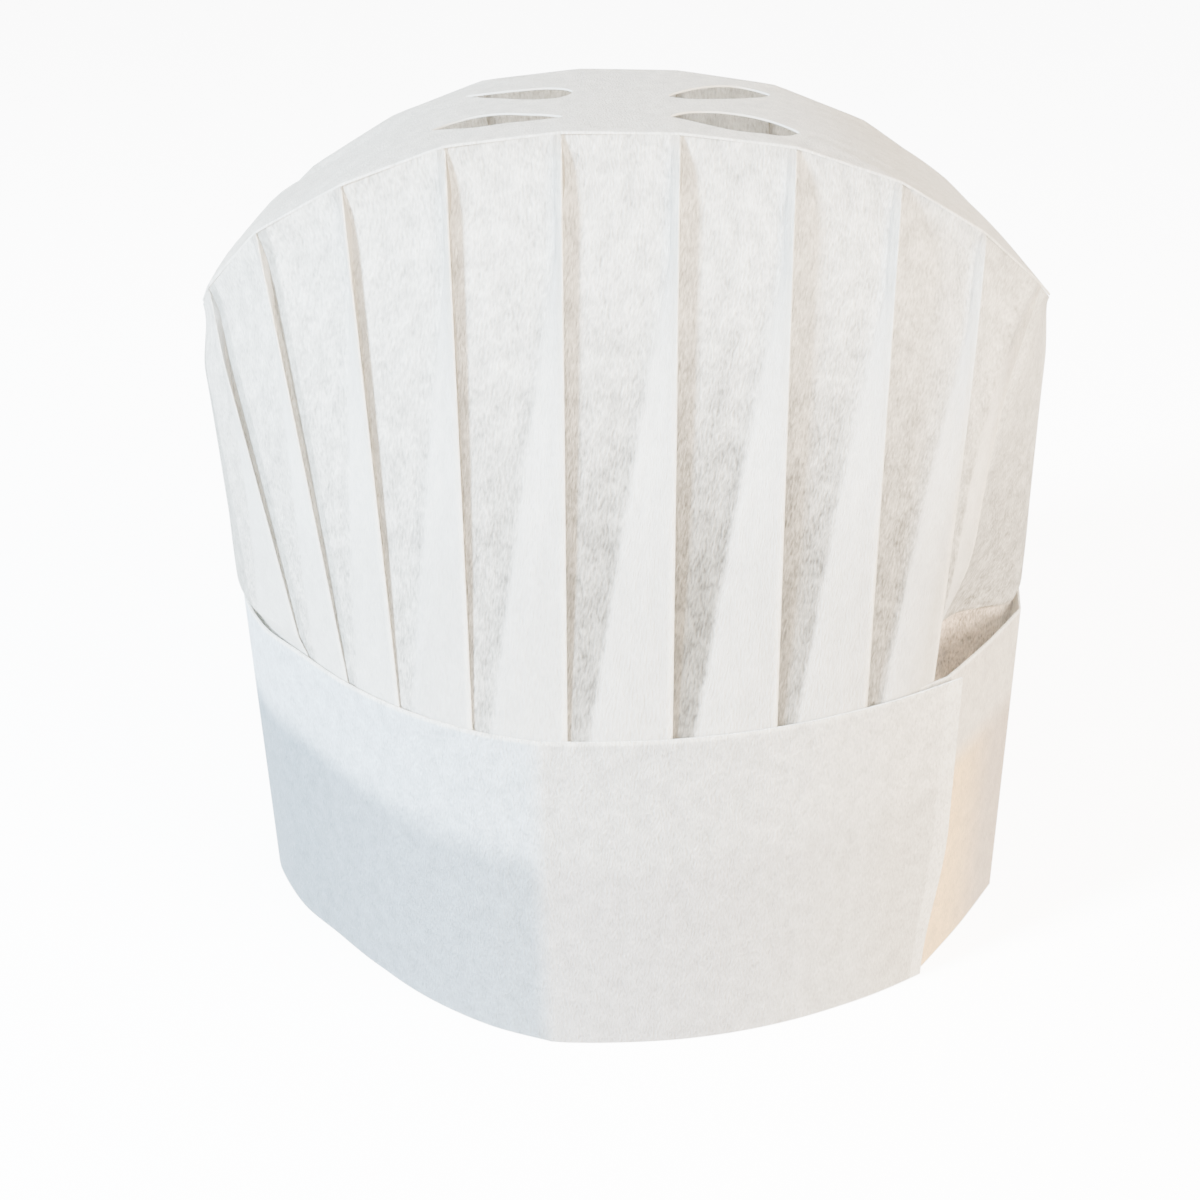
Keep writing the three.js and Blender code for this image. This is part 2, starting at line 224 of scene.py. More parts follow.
def cloth_grid(name, points, maps, closed):
    """A sheet on a grid of points in millimetres, rows upwards and columns anticlockwise as
    seen from above, with each of its UV maps given at every point."""
    rows, columns = points.shape[:2]
    spans = columns if closed else columns - 1
    faces = []
    corners = []
    for row in range(rows - 1):
        for column in range(spans):
            right = (column + 1) % columns
            loop = ((row, column), (row, right), (row + 1, right), (row + 1, column))
            faces.append([r * columns + c for r, c in loop])
            corners.extend((r, column + (c != column)) for r, c in loop)
    mesh = bpy.data.meshes.new(name)
    mesh.from_pydata((points.reshape(-1, 3) * MM).tolist(), [], faces)
    corner_rows, corner_columns = np.array(corners).T
    for map_name, values in maps.items():
        layer = mesh.uv_layers.new(name=map_name)
        layer.data.foreach_set("uv", values[corner_rows, corner_columns].ravel())
    piece = bpy.data.objects.new(name, mesh)
    bpy.context.collection.objects.link(piece)
    return piece


def choose(piece):
    bpy.ops.object.select_all(action="DESELECT")
    piece.select_set(True)
    bpy.context.view_layer.objects.active = piece


def thicken(piece, thickness):
    """Gives a sheet its wall, inward from the face that shows, and smooth shading."""
    choose(piece)
    wall = piece.modifiers.new("wall", "SOLIDIFY")
    wall.thickness = thickness * MM
    wall.offset = -1
    wall.use_even_offset = False
    bpy.ops.object.modifier_apply(modifier=wall.name)
    bpy.ops.object.shade_smooth_by_angle(angle=math.radians(50))


def spline(points, steps, closed):
    """Uniform Catmull-Rom curve through the points, with some steps for each stretch."""
    points = np.asarray(points, float)
    if closed:
        padded = np.concatenate([points[-1:], points, points[:2]])
    else:
        padded = np.concatenate([points[:1], points, points[-1:]])
    found = []
    for start in range(len(padded) - 3):
        p0, p1, p2, p3 = padded[start:start + 4]
        for step in range(steps):
            t = step / steps
            found.append(0.5 * (
                2 * p1 + (p2 - p0) * t + (2 * p0 - 5 * p1 + 4 * p2 - p3) * t ** 2
                + (3 * p1 - p0 - 3 * p2 + p3) * t ** 3
            ))
    if not closed:
        found.append(points[-1])
    return np.array(found)


def point_at(angle, radius):
    turn = np.radians(angle)
    return np.stack([radius * np.sin(turn), -radius * np.cos(turn)], -1)


footprint_shift = np.array([1.2185, -0.2124])   # centres the whole hat on its footprint
band_height = 79.0
cloth_wall = 0.4
solid_wall = 1.0
drawn_in = 0.021                # share by which the lower edge is drawn in at the front left
drawn_in_at = -42.0
drawn_in_reach = 32.0
lap_lean = 4.6                  # how far the outer end leans on over the lap, towards its top
lap_lean_reach = 12.0
band_plan = [                   # angle from the front, radius, and whether it is a crease
    (43.8, 96.6, True), (38, 94.9, False), (32, 93.5, False), (23, 92.2, False),
    (14, 91.6, False), (5, 91.6, False), (-4, 92.2, False), (-11.7, 93.6, True),
    (-21, 93.0, False), (-32, 91.8, False), (-43, 90.9, False), (-54, 91.0, False),
    (-65, 93.8, False), (-78, 95.6, False), (-92, 95.6, False), (-106, 94.6, False),
    (-121, 93.8, False), (-136.2, 95.2, True), (-150, 92.6, False), (-165, 91.8, False),
    (-180, 92.4, False), (-191.7, 93.6, True), (-205, 92.6, False), (-220, 91.6, False),
    (-235, 92.0, False), (-250, 93.4, False), (-264, 94.4, False), (-278, 94.5, False),
    (-291.5, 96.8, True), (-303, 94.6, False), (-314.7, 95.2, True),
    (-322, 93.6, False), (-325.1, 92.5, False),
]


def band_line(steps):
    """The strip's middle line, from its outer end at the front right to its inner end."""
    line = []
    stretch = []
    for index, (angle, radius, crease) in enumerate(band_plan):
        stretch.append(point_at(angle, radius))
        if (crease and index > 0) or index == len(band_plan) - 1:
            curved = spline(stretch, steps, False) if len(stretch) > 2 else np.array(stretch)
            line.extend(curved[1 if line else 0:])
            stretch = [stretch[-1]]
    return np.array(line)


def band_inner_radius(angle):
    """Radius of the solid headband's innermost cloth at an angle."""
    line = band_line(2)
    ray = point_at(angle, 1.0)
    start = line[:-1]
    edge = line[1:] - start
    turn = ray[0] * edge[:, 1] - ray[1] * edge[:, 0]
    radius = (start[:, 0] * edge[:, 1] - start[:, 1] * edge[:, 0]) / turn
    share = (start[:, 0] * ray[1] - start[:, 1] * ray[0]) / turn
    met = (share >= 0) & (share <= 1) & (radius > 0)
    return radius[met].min() - solid_wall / 2


def smooth_step(value, low, high):
    share = np.clip((value - low) / (high - low), 0, 1)
    return share * share * (3 - 2 * share)


def build_headband():
    """The strip on its line, from its inner end to its outer one, and its length."""
    line = band_line(8)[::-1]
    step = np.diff(line, axis=0)
    normal = np.stack([step[:, 1], -step[:, 0]], -1)
    normal /= np.linalg.norm(normal, axis=1, keepdims=True)
    before = np.concatenate([normal[:1], normal])
    after = np.concatenate([normal, normal[-1:]])
    mitre = before + after
    mitre /= np.linalg.norm(mitre, axis=1, keepdims=True)
    outer = line + mitre * (solid_wall / 2 / (mitre * before).sum(1))[:, None]
    length = np.concatenate([[0], np.cumsum(np.linalg.norm(np.diff(outer, axis=0), axis=1))])
    heights = np.linspace(0, band_height, 22)
    angle = np.degrees(np.arctan2(outer[:, 0], -outer[:, 1]))
    pulled = np.clip(1 - np.abs(angle - drawn_in_at) / drawn_in_reach, 0, 1) ** 0.7
    below = (1 - heights / band_height) ** 1.6
    inward = 1 - drawn_in * pulled[None] * below[:, None]
    points = np.zeros((len(heights), len(outer), 3))
    points[:, :, 0] = outer[None, :, 0] * inward
    points[:, :, 1] = outer[None, :, 1] * inward
    points[:, :, 2] = heights[:, None]
    near_end = np.clip((length - length[-1] + lap_lean_reach) / lap_lean_reach, 0, 1)
    lean = lap_lean * smooth_step(heights / band_height, 0.02, 0.5)
    ahead = (outer[-1] - outer[-2]) / np.linalg.norm(outer[-1] - outer[-2])
    points[:, :, :2] += lean[:, None, None] * near_end[None, :, None] * ahead
    points[:, :, :2] += footprint_shift
    cloth = np.zeros((len(heights), len(outer), 2))
    cloth[:, :, 0] = length[None] / centimetre
    cloth[:, :, 1] = heights[:, None] / centimetre
    plan = np.zeros_like(cloth)
    plan[:, :, 0] = angle[None] / 90
    plan[:, :, 1] = heights[:, None] / band_height
    ends = np.zeros_like(cloth)
    ends[:, :, 0] = (length[-1] - length)[None] / 100
    maps = {"cloth": cloth, "plan": plan, "ends": ends}
    band = cloth_grid("headband_cloth", points, maps, False)
    thicken(band, cloth_wall)
    return band, length[-1]


# Painted shade below the hem line, where one layer shows the dark inside; paler above the hem.
front_painted_shade = (0.60, 0.59, 0.60, 1)
front_over_hem = (0.70, 0.70, 0.70, 1)
# Painted warm light on the right side of the band, below and above the hem.
right_painted_light = (0.76, 0.75, 0.73, 1)
right_over_hem_painted_light = (0.88, 0.87, 0.85, 1)
# Painted cool shade on the left facets, dark and bluish below the hem, with a painted cool light
# above it.
facet_far_painted_cool_shade = (0.25, 0.31, 0.37, 1)
facet_near_painted_cool_shade = (0.37, 0.43, 0.49, 1)
facet_over_hem_painted_cool_light = (0.69, 0.77, 0.85, 1)
# Painted orange glow of warm light through the cloth beside the lap, painted warm shade further
# round, and a paler warm tone above the hem.
lap_painted_glow = (0.95, 0.70, 0.35, 1)
end_beyond_painted_shade = (0.54, 0.46, 0.39, 1)
end_over_hem = (0.74, 0.70, 0.65, 1)
# Painted highlight along the band's top edge and the lap's edge.
cut_edge_painted_highlight = (0.96, 0.96, 0.94, 1)


def band_finish():
    """Greyer below, a painted shade of the dark inside seen through one layer, and paler above,
    where the wall's hem lies behind it. On the left facets the tone is a painted cool shade, on
    the right a paler painted warm light, beside the lap a painted orange glow with painted warm
    shade further round, and along the cut edges a painted highlight. Angles are shares of a
    right angle from the front."""
    finish = Finish("headband_viscose")
    place, _, _ = finish.uv("cloth")
    _, angle, height = finish.uv("plan")
    _, from_end, _ = finish.uv("ends")
    over_hem = (height - angle.size().lowest(0.65) * 0.17).between(0.53, 0.66)
    # Painted cool shade on the left facets.
    left = angle.between(-1.3, -0.9) * (1.0 - angle.between(-0.16, -0.12))
    # Painted warm light on the right side of the band.
    right = angle.between(0.05, 0.46) * (1.0 - angle.between(1.2, 1.7))
    beyond_lap = angle.between(0.487, 0.490) * from_end.between(0.15, 0.16)
    beyond_lap = beyond_lap * (1.0 - angle.between(0.9, 1.3))
    front = finish.blend(right, front_painted_shade, right_painted_light)
    front_over = finish.blend(right, front_over_hem, right_over_hem_painted_light)
    front = finish.blend(over_hem, front, front_over)
    # Painted cool shade on the left facets, with a painted cool light above the hem.
    facet = finish.blend(angle.between(-0.8, -0.2), facet_far_painted_cool_shade, facet_near_painted_cool_shade)
    facet = finish.blend(over_hem, facet, facet_over_hem_painted_cool_light)
    tone = finish.blend(left, front, facet)
    # Painted orange glow beside the lap, turning to painted warm shade further round.
    inner_end = finish.blend(angle.between(0.54, 0.72), lap_painted_glow, end_beyond_painted_shade)
    inner_end = finish.blend(over_hem, inner_end, end_over_hem)
    tone = finish.blend(beyond_lap, tone, inner_end)
    # Painted highlight along the lap's edge and the top edge.
    lap = 1.0 - from_end.between(0.028, 0.036)
    rim_painted_highlight = height.between(0.985, 0.995)
    tone = finish.blend(lap.highest(rim_painted_highlight), tone, cut_edge_painted_highlight)
    return viscose("headband_viscose", place, tone, 0.105, 0.22, 1.1)


headband, band_length = build_headband()
headband.data.materials.append(band_finish())
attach(headband, "root")
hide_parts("headband")


# Pleated wall: one long strip of the same cloth, laid in ten knife pleats at the front and ten
# at the back, pressed flat where the headband holds it, opening upwards, plain at both sides.

crown_half_length = 97.5
crown_half_depth = 39.5
crown_centre = (-0.5, -1.0)
crown_roundness = 2.7
crown_height = 189.3
crown_end_height = 145.3
arch_exponent = 2.63
arch_lean = 0.7                 # the left half stands higher, the right one lower
shoulder_lift = 3.7             # how much fuller the arch's left shoulder is
shoulder_reach = 30
folds_per_side = 10
side_stations = 4
stations_per_half = folds_per_side + side_stations
station_count = 2 * stations_per_half
left_end_margin = 21.3
right_end_margin = 22.3
left_bulge = 2.8                # how far the side panels swell out over the headband
right_bulge = 1.4
fold_depth = 0.78
fold_vanish = 0.876
wall_tuck = 29.0
wall_plan = [                   # angle from the front and inset from the headband, by station
    (-53.1, 0.3), (-43, 0.3), (-32.7, 0.3), (-21, 0.3), (-8.4, 0.3), (4.9, 0.3),
    (18.7, 0.3), (31.6, 0.3), (43.3, 0.3), (57.2, 6), (68.5, 1.2), (83, 0.6),
    (98, 0.5), (112.5, 0.4),
]


def arch_at(x):
    """The arch's height at a distance to the right of the hat's middle."""
    from_middle = np.asarray(x, float) - crown_centre[0]
    share = np.minimum(1, np.abs(from_middle) / crown_half_length)
    rise = (crown_height - crown_end_height) * (1 - share ** arch_exponent)
    lean = arch_lean * np.sin(np.pi * from_middle / crown_half_length)
    into = np.clip((shoulder_reach - crown_half_length - from_middle) / shoulder_reach, 0, 1)
    lift = shoulder_lift * np.maximum(0, np.sin(np.pi * into ** 1.3)) ** 1.2
    return crown_end_height + rise - lean + lift


def arch_steepness(x):
    step = 0.01
    return np.hypot(1, (arch_at(x + step) - arch_at(x - step)) / (2 * step))


def crown_outline(turn):
    """The crown's plan outline. Turns go from its right end through the back to the left end."""
    cosine = np.cos(2 * np.pi * turn)
    sine = np.sin(2 * np.pi * turn)
    power = 2 / crown_roundness
    x = crown_half_length * np.sign(cosine) * np.abs(cosine) ** power
    y = crown_half_depth * np.sign(sine) * np.abs(sine) ** power
    return np.stack([crown_centre[0] + x, crown_centre[1] + y], -1)


cuff_steps = 40
cuff_room = 0.5                 # brings the front half close up behind the headband's cloth
cuff_stations = []
for station in range(station_count):
    angle, inset = wall_plan[station % stations_per_half]
    angle += 180 * (station // stations_per_half)
    room = cuff_room if station < stations_per_half else 0.0
    cuff_stations.append(point_at(angle, band_inner_radius(angle) + room - inset))
cuff_line = spline(cuff_stations, cuff_steps, True)

edge_plan = crown_outline(0.5 + 0.5 * np.linspace(0, 1, 1441))
edge_rise = np.column_stack([edge_plan, arch_at(edge_plan[:, 0])])
edge_steps = np.linalg.norm(np.diff(edge_rise, axis=0), axis=1)
edge_length = np.concatenate([[0], np.cumsum(edge_steps)])


def cuff_point(station):
    """A station's place where the wall goes down into the headband."""
    place = (np.asarray(station) % station_count) * cuff_steps
    low = np.floor(place).astype(int)
    share = (place - low)[..., None]
    count = len(cuff_line)
    return cuff_line[low % count] * (1 - share) + cuff_line[(low + 1) % count] * share


def crown_edge_point(station):
    """A station's place on the crown's edge: folds evenly spaced, then the side panel."""
    station = np.asarray(station, float) % station_count
    half = np.floor(station / stations_per_half)
    within = station - half * stations_per_half
    total = edge_length[-1]
    margins = left_end_margin + right_end_margin
    fold_pitch = (total - margins) / (folds_per_side - 1)
    side_pitch = margins / (side_stations + 1)
    last = folds_per_side - 1
    length = np.where(
        within > last,
        total - right_end_margin + (within - last) * side_pitch,
        left_end_margin + within * fold_pitch,
    )
    past = length > total
    length = np.where(past, length - total, length)
    x = np.interp(length, edge_length, edge_plan[:, 0])
    y = np.interp(length, edge_length, edge_plan[:, 1])
    turned = (half + past) % 2 == 1
    return np.stack([
        np.where(turned, 2 * crown_centre[0] - x, x),
        np.where(turned, 2 * crown_centre[1] - y, y),
    ], -1)


def crown_edge(station):
    """The crown's edge with its height: straight from each station to the next, with a small
    round corner at each of them."""
    found = 0
    for step in (-0.05, 0, 0.05):
        at = np.asarray(station, float) + step
        low = np.floor(at)
        share = (at - low)[..., None]
        ends = [crown_edge_point(low), crown_edge_point(low + 1)]
        ends = [np.concatenate([end, arch_at(end[..., :1])], axis=-1) for end in ends]
        found = found + (ends[0] * (1 - share) + ends[1] * share) / 3
    return found


def bulge_at(station, rise):
    """How far a plain side panel swells outward: over its middle, and not at its two edges."""
    station = np.asarray(station, float) % station_count
    within = station % stations_per_half
    panel = folds_per_side - 1 - side_stations / 2
    after = np.where(within > panel, within - stations_per_half, within)
    before = np.where(within > panel, within - folds_per_side + 1, side_stations)
    across = smooth_step(before, 0, 1.2) * (1 - smooth_step(after, -1, 0.7))
    up = np.clip(rise / 0.05, 0, 1) * (1 - smooth_step(rise, 0.78, 1))
    is_left = (station > stations_per_half + panel) | (station < panel)
    return np.where(is_left, left_bulge, right_bulge) * across * up


def outline_point(station, rise):
    """The wall's outline. The folds at the right end of the front hang in a curve, and the foot
    of the last one goes in behind its neighbour."""
    turned = np.asarray(station, float) % station_count
    sway = np.interp(turned, [7, 8, 9, 10, 11, 12], [0, -0.05, 0.3, 0.2, 0.07, 0])
    station = station - sway * np.sin(np.pi * np.clip(rise, 0, 1))
    foot = np.interp(turned, [8, 9, 10, 11], [0, 0.62, 0.2, 0])
    station = station - foot * (1 - smooth_step(rise, 0, 0.32))
    low = cuff_point(station)
    plan = low + (crown_edge(station)[..., :2] - low) * np.asarray(rise)[..., None]
    plan[..., 0] += np.sign(plan[..., 0]) * bulge_at(station, rise)
    return plan


wall_rises = np.concatenate([
    np.linspace(0, 0.12, 14)[:-1],
    np.linspace(0.12, 0.8, 26)[:-1],
    np.linspace(0.8, 0.95, 10)[:-1],
    np.linspace(0.95, 1, 8),
])
hem_drops = np.linspace(wall_tuck, 0, 6)[:-1]
lip_rises = [0, 0.1, 0.3, 0.5, 0.7, 0.87, 0.94, 0.98, 1]
lip_heights = [1.4, 1.9, 2.9, 3.4, 3.6, 3.5, 2.7, 1.3, 0.4]     # how far a fold stands off
lip_shares = [0.5, 0.56, 0.74, 0.84, 0.93, 1, 1, 1, 0.95, 0.9, 0.8, 0.7, 0.6, 0.5]
lip_stations = np.arange(stations_per_half + 1)
fold_radius = 0.26
layer_gap = 0.55
wall_cloth = 0.25
panel_columns = 12
lip_columns = 9
tip_columns = 4
return_columns = 4
side_columns = 48
side_reach = 2.2                # how far round a side panel comes out level with its next fold
seam_inset = 0.12
dent_depth = 3.0                # how far the right side panel bends in over the headband
tuck_depth = 4.2                # and how far the last fold's foot goes in there


def fold_sizes(rise):
    """How far the folds stand off at one level, and how deep their hidden layers go."""
    lip = np.interp(rise, lip_rises, lip_heights)
    depth = max(fold_depth * (1 - rise / fold_vanish), -0.01 * lip)
    under = min(1.0, max(0.0, (depth + 0.1) / 0.2))
    return lip, depth, under


def dent_at(t, rise):
    """How strongly the right side panel is bent in, t stations on from the last fold."""
    dent = smooth_step(t, -0.6, -0.1) * (1 - smooth_step(t, 0.5, 1.6))
    top = max(0.01, 0.062 - 0.036 * max(t, 0))
    return dent * (1 - smooth_step(rise / top, 0.55, 1.0))


def pleat_places(rise):
    """One level of the wall in its own terms. Each place has its station, a shift along the
    wall, its height over the lowest layer, how far across its panel it is, and its dent."""
    lip, depth, under = fold_sizes(rise)
    wedge = max(depth, 0.07)
    sweep = math.radians(60 + 120 * under)
    places = []
    previous = -side_stations - 1
    for station in range(station_count):
        if station % stations_per_half >= folds_per_side:
            continue
        run = station - previous
        side = run > 1
        side_height = 0.68 if station < folds_per_side else 0.95
        side_height += (0.97 - side_height) * (1 - smooth_step(rise, 0.05, 0.3))
        start = -depth
        bend = run - wedge
        columns = side_columns if side else panel_columns
        floor = layer_gap * 2 * under
        low = floor + 0.22 * (lip - floor)
        for t in np.linspace(start, bend, columns, endpoint=False):
            reach = min(1.0, max(0.0, t - start) / ((side_reach if side else run) + depth))
            height = low * reach
            if side:
                height += (side_height * lip - low) * smooth_step(t, 0.4, side_reach)
            dent = dent_at(t, rise) if station == stations_per_half else 0.0
            across = t if t < 0 else max(min(t, 0.05), t - run + 1)
            places.append((previous + t, 0.0, height, across, dent))
        if side:
            low = side_height * lip
        for share in 1 - (1 - np.linspace(0, 1, lip_columns)) ** 1.7:
            height = low + (lip - low) * (0.88 * share + 0.12 * share ** 6)
            at = previous + bend + wedge * share
            places.append((at, 0.0, height, 1 - wedge * (1 - share), 0.0))
        for turn in np.linspace(0, sweep, tip_columns)[1:]:
            shift = fold_radius * math.sin(turn)
            fall = fold_radius * (1 - math.cos(turn))
            places.append((station, shift, lip - fall, 1 + 0.01 * turn, 0.0))
        tip_shift = fold_radius * math.sin(sweep)
        tip_fall = fold_radius * (1 - math.cos(sweep))
        for share in np.linspace(0, 1, return_columns + 1)[1:]:
            height = (lip - tip_fall) * (1 - share) + layer_gap * under * share + 0.03
            shift = tip_shift * (1 - share)
            places.append((station - depth * share, shift, height, 1.1 + share, 0.0))
        previous = station
    return np.array(places)


def wall_row(rise, drop):
    """One level of the wall: where the cloth is, and its UV maps, all the way round."""
    station, shift, height, across, dent = pleat_places(rise).T
    count = len(station)
    lip, _, _ = fold_sizes(rise)
    level = np.full(count, rise)
    here = outline_point(station, level)
    ahead = outline_point(station + 0.02, level) - outline_point(station - 0.02, level)
    tangent = ahead / np.linalg.norm(ahead, axis=1, keepdims=True)
    inward = np.stack([-tangent[:, 1], tangent[:, 0]], -1)
    closing = seam_inset * min(1.0, max(0.0, (rise - 0.9) / 0.08))
    share = np.interp(station % stations_per_half, lip_stations, lip_shares + lip_shares[:1])
    tuck = np.interp(station, [8, 9, 10, 10.8], [0, tuck_depth, 0.8, 0])
    tuck *= 1 - smooth_step(rise, 0, 0.25)
    inset = (lip - height) * share + closing + dent * dent_depth + tuck
    plan = here + tangent * shift[:, None] + inward * inset[:, None]
    top = crown_edge(station)[:, 2] - 0.43 * arch_steepness(plan[:, 0])
    z = band_height + (top - band_height) * rise - drop
    points = np.column_stack([plan + footprint_shift, z])
    pleat = np.column_stack([across / 3, level - drop / 200])
    within = (station + side_stations / 2) % stations_per_half - side_stations / 2
    # Painted shade: the single cloth darkens lower down and round the side away from the key
    # light, where the dark inside shows through.
    hollow_painted_shade = 0.22 + 0.64 * smooth_step(within, 1.6, 4.8) - 0.35 * smooth_step(within, 6.3, 8.5)
    hollow_painted_shade += 0.14 * smooth_step(within, 4.2, 5.2) * (1 - smooth_step(within, 5.6, 6.2))
    hollow_painted_shade *= 1 - smooth_step(rise, 0.15, 0.85)
    painted_shade_and_dent = np.column_stack([hollow_painted_shade, dent])
    # Marks the left folds, for the painted shadow strip beside them and the painted light on
    # their hidden layers.
    narrow = np.column_stack([1 - smooth_step(within, 1.7, 2.2), np.zeros(count)])
    return points, pleat, painted_shade_and_dent, narrow


def build_wall():
    """The wall's rows from its hidden hem up to the crown, and the area of its cloth."""
    levels = [(0.0, drop) for drop in hem_drops] + [(rise, 0.0) for rise in wall_rises]
    rows = [wall_row(rise, drop) for rise, drop in levels]
    points, pleat, hollow_painted_shade, narrow = [np.array(part) for part in zip(*rows)]
    closing = np.concatenate([points, points[:, :1]], axis=1)
    steps = np.linalg.norm(np.diff(closing, axis=1), axis=2)
    around = np.concatenate([np.zeros((len(rows), 1)), np.cumsum(steps, axis=1)], axis=1)
    wide = around[len(hem_drops) + 12]
    up = np.concatenate([[0], np.cumsum(np.diff(points[:, :, 2].mean(1)))])
    cloth = np.zeros((len(rows), points.shape[1] + 1, 2))
    cloth[:, :, 0] = wide[None] / centimetre
    cloth[:, :, 1] = up[:, None] / centimetre
    maps = {
        "cloth": cloth,
        "pleat": np.concatenate([pleat, pleat[:, :1]], axis=1),
        "hollow_painted_shade": np.concatenate([hollow_painted_shade, hollow_painted_shade[:, :1]], axis=1),
        "narrow": np.concatenate([narrow, narrow[:, :1]], axis=1),
    }
    wall = cloth_grid("pleated_wall_cloth", points, maps, True)
    face_area = sum(face.area for face in wall.data.polygons)
    thicken(wall, wall_cloth)
    return wall, face_area


single_cloth = (0.79, 0.785, 0.77, 1)
# Painted shade of the dark inside.
deep_hollow_painted_shade = (0.20, 0.187, 0.167, 1)
double_cloth_low = (0.80, 0.795, 0.785, 1)
double_cloth_high = (0.98, 0.98, 0.97, 1)
# Painted shadow strip beside the left folds.
narrow_gap_painted_shadow = (0.50, 0.51, 0.50, 1)
# Painted warm shade under the lips and on the returns, and painted light there at the left
# folds.
hidden_layer_painted_shade = (0.54, 0.49, 0.42, 1)
hidden_layer_left_painted_light = (0.95, 0.95, 0.93, 1)
# Painted brown shade in the dent over the headband.
dented_cloth_painted_shade = (0.72, 0.62, 0.52, 1)
# Paler at the fold edges, where the cloth is doubled, and a painted highlight there.
fold_edge_painted_highlight = (0.98, 0.95, 0.90, 1)


def wall_finish():
    """Single cloth shows its fibres and the dark inside, in a painted shade that deepens lower
    down and where it faces away from the key light. Where a fold doubles it, it is paler and
    smoother, and the edges of the folds are the palest, doubled cloth with a painted highlight.
    Under the lips and on the returns lies a painted warm shade, in the dent a painted brown
    shade, and beside the left folds a painted shadow strip, where the hidden layers are painted
    light."""
    finish = Finish("pleated_wall_viscose")
    place, _, _ = finish.uv("cloth")
    _, across, rise = finish.uv("pleat")
    _, hollow_painted_shade, dent_painted_shade_mask = finish.uv("hollow_painted_shade")
    _, narrow, _ = finish.uv("narrow")
    across = across * 3
    depth = (1.0 - rise / fold_vanish) * fold_depth
    layered = (across + depth - 1.0).between(-0.04, 0.05)
    # The fold edges: doubled cloth with a painted highlight.
    fold_edge_highlight_mask = across.between(0.93, 0.985) * (1.0 - across.between(1.02, 1.06))
    # Painted shade under the lips and on the returns.
    tucked_painted_shade = across.between(1.04, 1.10).highest(1.0 - across.between(-0.03, 0.01))
    # Painted shadow strip next to the fold edges at the left folds.
    beside_fold_painted_shadow = narrow * across.between(-0.03, 0.01) * (1.0 - across.between(0.11, 0.15))
    # Painted shade where the single cloth shows the dark inside.
    tone = finish.blend(hollow_painted_shade, single_cloth, deep_hollow_painted_shade)
    double = finish.blend(rise.between(0.2, 0.5), double_cloth_low, double_cloth_high)
    tone = finish.blend(layered, tone, double)
    tone = finish.blend(beside_fold_painted_shadow, tone, narrow_gap_painted_shadow)
    # Painted warm shade on the hidden layers, with painted light at the left folds.
    inside = finish.blend(narrow, hidden_layer_painted_shade, hidden_layer_left_painted_light)
    tone = finish.blend(tucked_painted_shade, tone, inside)
    # Painted shade in the dent.
    tone = finish.blend(dent_painted_shade_mask, tone, dented_cloth_painted_shade)
    tone = finish.blend(fold_edge_highlight_mask, tone, fold_edge_painted_highlight)
    mottle = (1.0 - layered) * (hollow_painted_shade * 0.19 + 0.10) + 0.055
    return viscose("pleated_wall_viscose", place, tone, mottle, 0.34, 0.0)


pleated_wall, wall_area = build_wall()
pleated_wall.data.materials.append(wall_finish())
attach(pleated_wall, "root")
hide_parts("pleated_wall")


# Crown: one oval panel of the same cloth, arched from end to end, with four vent holes punched
# in it. Its edge is turned down a little and glued round the top of the wall.

rim_radius = 0.45
columns_per_station = 7
ring_count = 26


def crown_rim(stations, angle):
    """The panel's edge where it has turned down by an angle, square to the panel."""
    edge = crown_edge(stations)
    ahead = crown_edge_point(stations + 0.02) - crown_edge_point(stations - 0.02)
    out = np.column_stack([ahead[:, 1], -ahead[:, 0]])
    out /= np.linalg.norm(out, axis=1, keepdims=True)
    slope = (arch_at(edge[:, 0] + 0.01) - arch_at(edge[:, 0] - 0.01)) / 0.02
    along = np.column_stack([out, slope * out[:, 0]])
    along /= np.linalg.norm(along, axis=1, keepdims=True)
    up = np.column_stack([-slope, np.zeros(len(stations)), np.ones(len(stations))])
    up /= np.linalg.norm(up, axis=1, keepdims=True)
    reach = rim_radius * (1 - math.sin(angle))
    return edge - along * reach - up * rim_radius * (1 - math.cos(angle))


def crown_row(stations, share):
    """A ring of the panel, from its middle at 0 to where its edge starts to turn at 1."""
    edge = crown_rim(stations, 0.0)
    middle = np.array(crown_centre)
    plan = middle + (edge[:, :2] - middle) * share
    sag = (arch_at(edge[:, 0]) - edge[:, 2]) * share ** 3
    return np.column_stack([plan, arch_at(plan[:, 0]) - sag])


